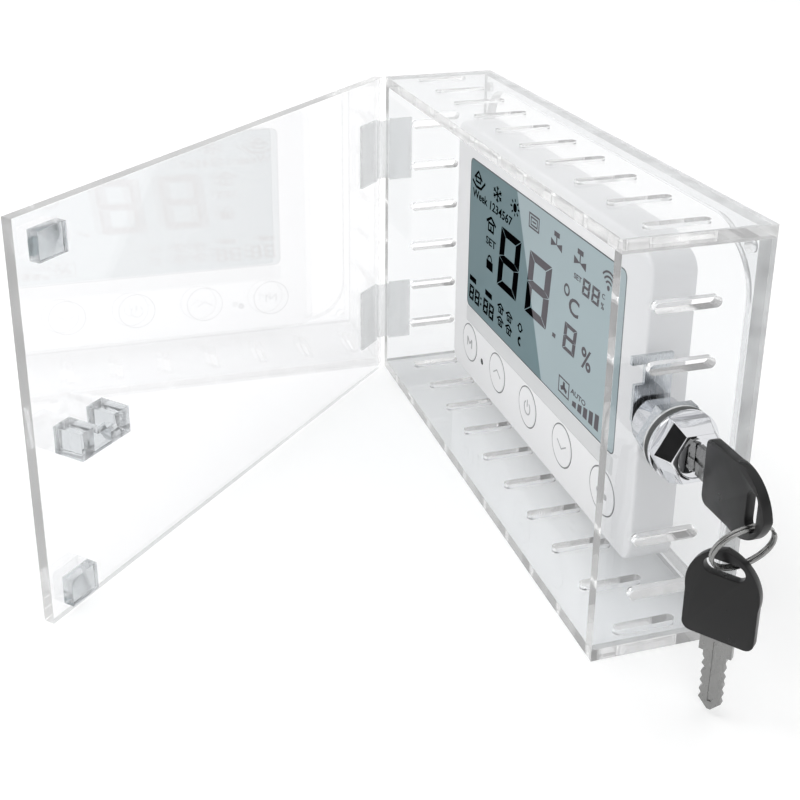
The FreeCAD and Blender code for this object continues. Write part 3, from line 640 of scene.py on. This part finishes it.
class DrawDisplay(bpy.types.Operator):
    """Makes the display's glass and the legends and digits on it."""
    bl_idname = "thermostat.draw_display"
    bl_label = "Draw display"

    def execute(self, context):
        look = context.scene.display_look
        # Window, cell and segments carry the painted sheen: paler to the right of the slanted line.
        paint(["display_window", "display_cell"],
              painted_sheen_tones("display_film_painted_sheen", look.dark_glass, look.pale_glass, look, 0.4, 0.15))
        self.ink = painted_sheen_tones("display_segments_painted_sheen", look.dark_segment, look.pale_segment, look, 0.6, 0.0)
        self.low, self.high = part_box("display_window")
        self.front = self.low[1] - look.ink_depth
        self.back = self.low[1] + 0.02 * MM
        self.window_outline()
        self.big_digits()
        self.small_digits()
        self.mode_icons()
        self.side_icons()
        self.fan_level()
        self.legends()
        return {"FINISHED"}

    def at(self, x, z):
        """A point on the display, in millimetres from the window's middle."""
        return ((self.low[0] + self.high[0]) / 2 + x * MM, (self.low[2] + self.high[2]) / 2 + z * MM)

    def shape(self, icons, points):
        """A flat plate on the display, through points in millimetres from the window's middle."""
        plate(icons, [self.at(*point) for point in points], self.back, self.front)

    def stroke(self, icons, start, end, width_mm):
        """A straight bar on the display."""
        bar(icons, self.at(*start), self.at(*end), width_mm * MM, self.back, self.front)

    def block(self, icons, low, high):
        """A filled rectangle on the display."""
        box_plate(icons, self.at(*low), self.at(*high), self.back, self.front)

    def outline(self, icons, low, high, width_mm):
        """A rectangular outline on the display."""
        hollow_box(icons, self.at(*low), self.at(*high), width_mm * MM, self.back, self.front)

    def dot(self, icons, centre, radius_mm, sides=24):
        """A filled circle on the display."""
        disc(icons, self.at(*centre), radius_mm * MM, self.back, self.front, sides)

    def curve(self, icons, centre, radius_mm, width_mm, start_deg, end_deg):
        """A curved bar on the display."""
        arc(icons, self.at(*centre), radius_mm * MM, width_mm * MM, start_deg, end_deg, self.back, self.front)

    def window_outline(self):
        """A thin dark line round the window, where its edge meets the case."""
        rim = solid_copy("display_window")
        behind = [f for f in rim.faces if f.normal.y > -0.9]
        bmesh.ops.delete(rim, geom=behind, context="FACES")
        bmesh.ops.dissolve_faces(rim, faces=rim.faces)
        bmesh.ops.inset_region(rim, faces=rim.faces, thickness=0.45 * MM, use_boundary=True)
        middle = max(rim.faces, key=lambda face: face.calc_area())
        bmesh.ops.delete(rim, geom=[middle], context="FACES")
        grown = bmesh.ops.extrude_face_region(rim, geom=rim.faces[:])["geom"]
        bmesh.ops.translate(rim, verts=[v for v in grown if isinstance(v, bmesh.types.BMVert)],
                            vec=(0, -0.04 * MM, 0))
        finish_piece("window_outline", rim, print_and_painted_shade_ink("window_edge_ink", colour("4A4E52")), GUARD_BODY)

    def keep(self, name, mesh_data):
        """Makes a piece of the display's ink."""
        finish_piece(name, mesh_data, self.ink, GUARD_BODY)

    def seven_segments(self, digits, corner, size, strokes, gap, lean):
        """A figure of seven mitred bars, leaning to the right, from its low left corner."""
        width, height = size
        stroke_x, stroke_z = strokes
        middle = height / 2
        half = stroke_z / 2
        clear = gap * 0.8
        inner_clear = gap * 0.4
        tip_inset = gap * 1.4

        def segment(*points):
            self.shape(digits, [(corner[0] + x + lean * z, corner[1] + z) for x, z in points])

        for edge, inner in ((height, height - stroke_z), (0.0, stroke_z)):
            segment((gap, edge), (width - gap, edge),
                    (width - stroke_x - gap, inner), (stroke_x + gap, inner))
        segment((tip_inset, middle), (stroke_x, middle + half), (width - stroke_x, middle + half),
                (width - tip_inset, middle), (width - stroke_x, middle - half), (stroke_x, middle - half))
        for outer, inner in ((0.0, stroke_x), (width, width - stroke_x)):
            segment((outer, height - clear), (outer, middle + clear),
                    (inner, middle + half + inner_clear), (inner, height - stroke_z - clear))
            segment((outer, clear), (outer, middle - clear),
                    (inner, middle - half - inner_clear), (inner, stroke_z + clear))

    def big_digits(self):
        """The two large figures of the room temperature."""
        digits = bmesh.new()
        for x in (-38.5, -8.0):
            self.seven_segments(digits, (x, -12.4), (21.5, 27.6), (5.2, 3.5), 0.35, 0.11)
        self.keep("room_temperature_digits", digits)

    def small_digits(self):
        """The tenths with their point, the set temperature and the clock with its colon."""
        digits = bmesh.new()
        self.seven_segments(digits, (29.0, -13.0), (10.6, 11.6), (2.5, 1.6), 0.2, 0.12)
        self.shape(digits, [(19.6, -12.2), (22.4, -12.2), (22.8, -10.4), (20.0, -10.4)])
        for x in (42.6, 50.2):
            self.seven_segments(digits, (x, 14.7), (6.0, 6.6), (1.5, 1.1), 0.15, 0.1)
        for x in (-71.2, -64.2, -53.6, -46.8):
            self.seven_segments(digits, (x, -31.6), (5.7, 7.2), (1.6, 1.25), 0.15, 0.1)
        for z in (-29.8, -27.0):
            self.shape(digits, [(-57.0, z), (-55.6, z), (-55.5, z + 1.0), (-56.9, z + 1.0)])
        self.keep("small_digits", digits)

    def mode_icons(self):
        """The row of symbols along the top of the display."""
        icons = bmesh.new()
        row = 27.5
        self.snowflake(icons, -41.5, row)
        self.sun(icons, -22.2, row)
        # Floor heating: one coil inside a frame.
        self.outline(icons, (-7.6, row - 3.2), (2.6, row + 3.2), 0.7)
        self.outline(icons, (-5.8, row - 1.9), (0.9, row + 1.9), 0.65)
        self.stroke(icons, (-4.2, row), (-0.6, row), 0.65)
        # Two valves: a bow tie, a stem and an actuator.
        for x in (19.0, 39.6):
            self.shape(icons, [(x - 5.0, row - 3.6), (x, row - 2.0), (x - 5.0, row - 0.4)])
            self.shape(icons, [(x + 5.0, row - 3.6), (x + 5.0, row - 0.4), (x, row - 2.0)])
            self.stroke(icons, (x, row - 2.0), (x, row + 1.4), 0.8)
            self.block(icons, (x - 2.4, row + 1.2), (x + 2.4, row + 3.2))
        # Radio waves: three arcs over a dot.
        self.dot(icons, (62.6, row - 3.0), 1.0)
        for radius in (2.8, 4.6, 6.4):
            self.curve(icons, (62.6, row - 3.4), radius, 0.8, 42, 138)
        # House held in a hand.
        self.stroke(icons, (-68.6, row + 0.2), (-64.0, row + 3.8), 1.1)
        self.stroke(icons, (-64.0, row + 3.8), (-59.4, row + 0.2), 1.1)
        self.outline(icons, (-67.2, row - 1.6), (-60.8, row + 1.4), 0.9)
        self.stroke(icons, (-71.0, row - 1.6), (-66.4, row - 3.7), 1.2)
        self.stroke(icons, (-66.6, row - 3.7), (-60.4, row - 3.5), 1.2)
        self.stroke(icons, (-60.6, row - 3.5), (-55.8, row + 0.4), 1.2)
        self.keep("mode_icons", icons)

    def snowflake(self, icons, x, z):
        """Six arms, each with a fork."""
        for k in range(6):
            angle = math.radians(30 + 60 * k)
            tip = (x + 5.0 * math.cos(angle), z + 3.6 * math.sin(angle))
            self.stroke(icons, (x, z), tip, 0.75)
            root = (x + 2.7 * math.cos(angle), z + 1.95 * math.sin(angle))
            for side in (-0.7, 0.7):
                fork = (root[0] + 2.0 * math.cos(angle + side), root[1] + 1.5 * math.sin(angle + side))
                self.stroke(icons, root, fork, 0.6)

    def sun(self, icons, x, z):
        """A disc and eight rays."""
        self.dot(icons, (x, z), 1.9)
        for k in range(8):
            angle = math.radians(45 * k)
            inner = (x + 2.9 * math.cos(angle), z + 2.5 * math.sin(angle))
            outer = (x + 4.8 * math.cos(angle), z + 3.7 * math.sin(angle))
            self.stroke(icons, inner, outer, 0.8)

    def small_house(self, icons, x, z, width, height):
        """A house outline with a roof that overhangs."""
        wall = width * 0.1
        for side in (-1, 1):
            self.stroke(icons, (x + side * width / 2, z + height * 0.1), (x, z + height / 2), wall * 1.2)
        self.outline(icons, (x - width * 0.32, z - height / 2), (x + width * 0.32, z + height * 0.16), wall)

    def side_icons(self):
        """The symbols beside the large figures and beside the clock."""
        icons = bmesh.new()
        self.small_house(icons, -47.4, 11.6, 10.6, 6.8)
        self.stroke(icons, (-47.4, 8.6), (-47.4, 11.0), 1.2)
        # Padlock: a body and a shackle.
        self.block(icons, (-51.2, -9.4), (-43.8, -5.2))
        self.curve(icons, (-47.5, -5.0), 2.2, 0.9, 0, 180)
        # Two small tags over the clock.
        for x in (-70.8, -51.4):
            self.block(icons, (x, -22.4), (x + 8.0, -19.8))
        # Four period houses, each with a dot for its door.
        for x in (-33.0, -23.4):
            for z in (-22.2, -28.2):
                self.small_house(icons, x, z, 7.4, 4.6)
                self.dot(icons, (x, z - 0.9), 0.75, 12)
        # A small sun over a small moon, and the degree sign.
        self.curve(icons, (-11.4, -22.0), 1.7, 0.8, 0, 360)
        for x in (-14.2, -9.6):
            self.stroke(icons, (x, -22.0), (x + 1.0, -22.0), 0.7)
        self.curve(icons, (-11.2, -28.2), 1.5, 1.3, 60, 300)
        self.curve(icons, (30.2, 11.4), 2.0, 1.0, 0, 360)
        self.keep("side_icons", icons)

    def fan_level(self):
        """A fan in a frame, and five bars that rise to the right."""
        icons = bmesh.new()
        self.outline(icons, (27.8, -32.0), (37.4, -25.0), 0.6)
        for k in range(3):
            angle = math.radians(90 + 120 * k)
            tip = (32.6 + 3.0 * math.cos(angle), -28.6 + 2.3 * math.sin(angle))
            self.stroke(icons, (32.6, -28.6), tip, 1.7)
        foot = -32.4
        for k in range(5):
            x = 40.4 + 4.7 * k
            top = foot + 2.2 + k
            self.shape(icons, [(x, foot), (x + 3.3, foot), (x + 3.5, top + 0.4), (x + 0.4, top)])
        self.keep("fan_level_bars", icons)

    def legends(self):
        """The words and signs: their low left corner, height, width scale and lean."""
        words = (
            ("legend_week", "Week", (-70.2, 18.4), 4.0, 1.25, 0.0),
            ("legend_days", "1234567", (-49.6, 18.2), 4.2, 1.32, 0.1),
            ("legend_set", "SET", (-52.6, 1.8), 3.6, 1.5, 0.0),
            ("legend_set_small", "SET", (35.4, 18.3), 2.2, 1.4, 0.0),
            ("legend_celsius", "C", (32.6, 3.2), 7.2, 1.35, 0.08),
            ("legend_humidity", "%", (45.4, -13.4), 8.6, 1.05, 0.0),
            ("legend_auto", "AUTO", (38.6, -27.8), 2.3, 1.45, 0.1),
            ("legend_small_units", "C", (58.4, 19.2), 2.0, 1.2, 0.0),
            ("legend_small_percent", "%", (58.0, 15.0), 2.6, 1.0, 0.0),
        )
        for name, body, corner, height, width_scale, lean in words:
            self.keep(name, text_piece(name, body, self.at(*corner), height * MM, width_scale,
                                       self.back, self.front, lean))


class MarkButtons(bpy.types.Operator):
    """Draws a ring of painted shade round each button, for the shadow in its gap, and the symbol on it."""
    bl_idname = "thermostat.mark_buttons"
    bl_label = "Mark buttons"

    def execute(self, context):
        look = context.scene.case_look
        gap_shade_ink = print_and_painted_shade_ink("painted_gap_shade", look.outline)
        mark_ink = print_and_painted_shade_ink("symbol_ink", look.mark)
        face_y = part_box("thermostat_housing")[0][1]
        ink_depth = 0.03 * MM
        symbol_proud = 0.04 * MM
        rings = bmesh.new()
        for name in ("mode", "up", "power", "down", "fan"):
            low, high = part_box("button_" + name)
            middle = ((low[0] + high[0]) / 2, (low[2] + high[2]) / 2)
            hole_radius = cap_radius(low, high) + 0.15 * MM
            # The ring is painted shade, on the case just outside the gap, where the gap's shadow falls.
            arc(rings, middle, hole_radius + look.outline_width / 2, look.outline_width, 0, 360,
                face_y + ink_depth, face_y - ink_depth, 72)
            self.symbol(name, middle, low[1] + ink_depth, low[1] - symbol_proud, mark_ink)
        finish_piece("button_gap_shade_rings", rings, gap_shade_ink, GUARD_BODY)
        return {"FINISHED"}

    def symbol(self, name, middle, back, front, ink):
        """The symbol on one button, in millimetres from the button's middle."""
        mark = bmesh.new()
        cx, cz = middle

        def at(x, z):
            return (cx + x * MM, cz + z * MM)

        if name == "mode":
            for x in (-2.6, 2.6):
                bar(mark, at(x, -2.2), at(x, 2.2), 1.0 * MM, back, front)
            bar(mark, at(-2.6, 2.0), at(0, -0.6), 0.9 * MM, back, front)
            bar(mark, at(2.6, 2.0), at(0, -0.6), 0.9 * MM, back, front)
        elif name in ("up", "down"):
            way = 1 if name == "up" else -1
            bar(mark, at(-4.0, -1.2 * way), at(0.15, 1.5 * way), 0.6 * MM, back, front)
            bar(mark, at(4.0, -1.2 * way), at(-0.15, 1.5 * way), 0.6 * MM, back, front)
        elif name == "power":
            arc(mark, at(0, -0.3), 2.9 * MM, 0.7 * MM, 125, 415, back, front)
            bar(mark, at(0, 0.2), at(0, 3.4), 0.7 * MM, back, front)
        else:
            for k in range(3):
                angle = math.radians(90 + 120 * k)
                disc(mark, at(2.2 * math.cos(angle), 2.0 * math.sin(angle)), 1.25 * MM, back, front, 20)
            disc(mark, at(0, 0), 0.7 * MM, back, front, 16)
        finish_piece("symbol_" + name, mark, ink, "button_" + name)


def cap_radius(low, high):
    """A button's cap is narrower than the flange behind it: the flange stands out 1 mm all round."""
    return (high[0] - low[0]) / 2 - 1.0 * MM


# ---------------------------------------------------------------- the lock and keys

class FinishLock(bpy.types.Operator):
    """Gives the cam lock its chrome and zinc plating."""
    bl_idname = "thermostat.finish_lock"
    bl_label = "Finish lock"

    def execute(self, context):
        chrome = bright_chrome(context.scene.lock_look.chrome)
        rounded("lock_body", GUARD_BODY, chrome, 0.22, 15.0)
        rounded("lock_plug", "plug", chrome, 0.15)
        paint(["lock_nut", "lock_cam", "lock_cam_screw"], zinc_plate())
        paint(["lock_washer"], moulded_part("natural_nylon", "E2E3E2", 0.4))
        return {"FINISHED"}


class FinishKeys(bpy.types.Operator):
    """Gives the keys and their ring their finishes."""
    bl_idname = "thermostat.finish_keys"
    bl_label = "Finish keys"

    def execute(self, context):
        look = context.scene.lock_look
        plastic = key_plastic(look.bow)
        steel = key_steel()
        for start, body in (("key_", "key"), ("spare_key_", "spare_key")):
            rounded(start + "bow", body, plastic, 0.6)
            rounded(start + "blade", body, steel, 0.12)
        self.wound_ring(steel)
        return {"FINISHED"}

    def wound_ring(self, steel):
        """The split ring: two flat turns of one wire, with a short cross-over between its cut ends."""
        low, high = (Vector(corner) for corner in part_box("split_ring"))
        middle = (low + high) / 2
        wire_radius = 0.56 * MM
        step = 1.1 * MM
        lean = math.radians(22)
        radius = (high.y - low.y) / 2 - 0.58 * MM
        gap_deg = 18
        cross_deg = 28
        turn_deg = 360 - cross_deg // 2 - gap_deg
        ring = bmesh.new()
        start = (Matrix.Rotation(math.radians(gap_deg), 4, "Z") @ Matrix.Translation((radius, 0, -step / 2))
                 @ Matrix.Rotation(math.pi / 2, 4, "X"))
        bmesh.ops.create_circle(ring, cap_ends=True, segments=12, radius=wire_radius, matrix=start)
        current = ring.verts[:] + ring.edges[:]
        for turn, rise in ((turn_deg, 0.0), (cross_deg, step), (turn_deg, 0.0)):
            steps = max(6, turn // 5)
            current = bmesh.ops.spin(ring, geom=current, cent=(0, 0, 0), axis=(0, 0, 1), steps=steps,
                                     angle=math.radians(turn), dvec=(0, 0, rise / steps))["geom_last"]
        end_edges = [item for item in current if isinstance(item, bmesh.types.BMEdge)]
        bmesh.ops.contextual_create(ring, geom=end_edges)
        caps = [face for face in ring.faces if len(face.verts) > 4]
        rims = [edge for face in caps for edge in face.edges]
        bmesh.ops.bevel(ring, geom=rims, offset=0.12 * MM, affect="EDGES", segments=2, profile=0.5,
                        material=-1)
        place = (Matrix.Translation(middle) @ Matrix.Rotation(math.pi / 2 + lean, 4, "Y")
                 @ Matrix.Rotation(math.radians(140), 4, "Z"))
        bmesh.ops.transform(ring, matrix=place, verts=ring.verts)
        piece = finish_piece("wound_split_ring", ring, steel, "ring", 50)
        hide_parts("split_ring")


# ---------------------------------------------------------------- the studio

class SetStage(bpy.types.Operator):
    """Makes the floor, the lights and the camera."""
    bl_idname = "thermostat.set_stage"
    bl_label = "Set stage"

    def execute(self, context):
        look = context.scene.studio_look
        self.floor(look)
        self.surroundings(context.scene)
        self.dark_card()
        self.soft_light("key_light", (-0.9, -1.1, 1.5), 1.3, look.key_power)
        self.soft_light("fill_light", (1.5, -0.6, 1.0), 1.0, look.fill_power)
        self.camera(context.scene)
        context.scene.view_settings.view_transform = "Standard"
        return {"FINISHED"}

    def floor(self, look):
        """A wide pale disc just under the guard."""
        floor_z = CAD_BOX[0][2] - 0.2 * MM
        ground = bmesh.new()
        bmesh.ops.create_circle(ground, cap_ends=True, segments=96, radius=6.0,
                                matrix=Matrix.Translation((0, 0, floor_z)))
        material, tree, shader = new_material("painted_floor", {
            "Base Color": (*look.floor, 1.0), "Roughness": 0.75, "Specular IOR Level": 0.2,
            "Emission Color": (1.0, 1.0, 1.0, 1.0), "Emission Strength": 0.1})
        roughen(tree, shader, object_noise(tree, 2.0), 0.03, 0.2)
        finish_piece("floor", ground, material, None)

    def dark_card(self):
        """A black card in front and above, which only the plated facets mirror."""
        card = bmesh.new()
        place = (Matrix.Translation((-0.01, -1.34, 0.47)) @ Matrix.Rotation(math.radians(70), 4, "X")
                 @ Matrix.Diagonal((1.0, 0.75, 1, 1)))
        bmesh.ops.create_grid(card, x_segments=1, y_segments=1, size=0.5, matrix=place)
        material, tree, shader = new_material("black_felt_card", {
            "Base Color": linear("0B0B0B"), "Roughness": 0.9})
        roughen(tree, shader, object_noise(tree, 1.0), 0.2)
        piece = finish_piece("dark_card", card, material, None)
        piece.visible_camera = False
        piece.visible_diffuse = False
        piece.visible_transmission = False
        piece.visible_shadow = False

    def surroundings(self, scene):
        """A pale room that darkens above the horizon and is bright again overhead."""
        world = bpy.data.worlds.new("studio_room")
        world.use_nodes = True
        tree = world.node_tree
        tree.nodes.clear()
        place = add_node(tree, "ShaderNodeTexCoord")
        split = add_node(tree, "ShaderNodeSeparateXYZ", {}, {0: place.outputs["Generated"]})
        ramp = add_node(tree, "ShaderNodeValToRGB", {}, {"Fac": split.outputs["Z"]})
        stops = ((0.0, 1.0), (0.3, 1.0), (0.4, 0.5), (0.6, 0.45), (0.75, 1.0))
        elements = ramp.color_ramp.elements
        while len(elements) < len(stops):
            elements.new(0.5)
        for element, (position, level) in zip(elements, stops):
            element.position = position
            element.color = (level, level, level, 1.0)
        background = add_node(tree, "ShaderNodeBackground", {"Strength": 1.06},
                              {"Color": ramp.outputs["Color"]})
        add_node(tree, "ShaderNodeOutputWorld", {}, {"Surface": background.outputs[0]})
        scene.world = world

    def soft_light(self, name, place, size, power):
        """A square softbox aimed at the guard."""
        light = bpy.data.lights.new(name, "AREA")
        light.size = size
        light.energy = power
        holder = bpy.data.objects.new(name, light)
        bpy.context.scene.collection.objects.link(holder)
        holder.location = place
        aim = Vector((0, -0.05, 0)) - Vector(place)
        holder.rotation_euler = aim.to_track_quat("-Z", "Y").to_euler()

    def camera(self, scene):
        """A normal lens a short way off to the right of the guard and a little above it."""
        lens = bpy.data.cameras.new("camera")
        lens.sensor_width = 36.0
        lens.lens = 54.4
        lens.shift_x = 0.041
        lens.shift_y = -0.19
        lens.clip_start = 0.01
        lens.dof.use_dof = False
        holder = bpy.data.objects.new("camera", lens)
        scene.collection.objects.link(holder)
        holder.location = (0.4182, -0.2168, 0.1941)
        yaw = math.radians(73.9)
        pitch = math.radians(20.05)
        gaze = Vector((-math.sin(yaw) * math.cos(pitch), math.cos(yaw) * math.cos(pitch), -math.sin(pitch)))
        holder.rotation_euler = gaze.to_track_quat("-Z", "Y").to_euler()
        scene.camera = holder


# ---------------------------------------------------------------- panel and registration

STEPS = (FinishGuard, FinishHinges, FinishCase, FinishInnerParts, DrawDisplay, MarkButtons,
         FinishLock, FinishKeys, SetStage)
LOOKS = {"guard_look": GuardLook, "display_look": DisplayLook, "case_look": CaseLook,
         "lock_look": LockLook, "studio_look": StudioLook}


class ThermostatPanel(bpy.types.Panel):
    """Lists the steps that finish the guarded thermostat, with their settings."""
    bl_idname = "VIEW3D_PT_guarded_thermostat"
    bl_label = "Guarded Thermostat"
    bl_space_type = "VIEW_3D"
    bl_region_type = "UI"
    bl_category = "Guarded Thermostat"

    def draw(self, context):
        for name, group in LOOKS.items():
            box = self.layout.box()
            for field in group.__annotations__:
                box.prop(getattr(context.scene, name), field)
        for step in STEPS:
            self.layout.operator(step.bl_idname)


def register():
    """Adds the settings, the steps and the panel to Blender."""
    for group in LOOKS.values():
        bpy.utils.register_class(group)
    for name, group in LOOKS.items():
        setattr(bpy.types.Scene, name, PointerProperty(type=group))
    for step in STEPS:
        bpy.utils.register_class(step)
    bpy.utils.register_class(ThermostatPanel)


def unregister():
    """Takes them out again."""
    bpy.utils.unregister_class(ThermostatPanel)
    for step in reversed(STEPS):
        bpy.utils.unregister_class(step)
    for name in LOOKS:
        delattr(bpy.types.Scene, name)
    for group in LOOKS.values():
        bpy.utils.unregister_class(group)


def main():
    """Runs every step in order."""
    register()
    for step in STEPS:
        group, name = step.bl_idname.split(".")
        getattr(getattr(bpy.ops, group), name)()


if __name__ == "__main__":
    main()
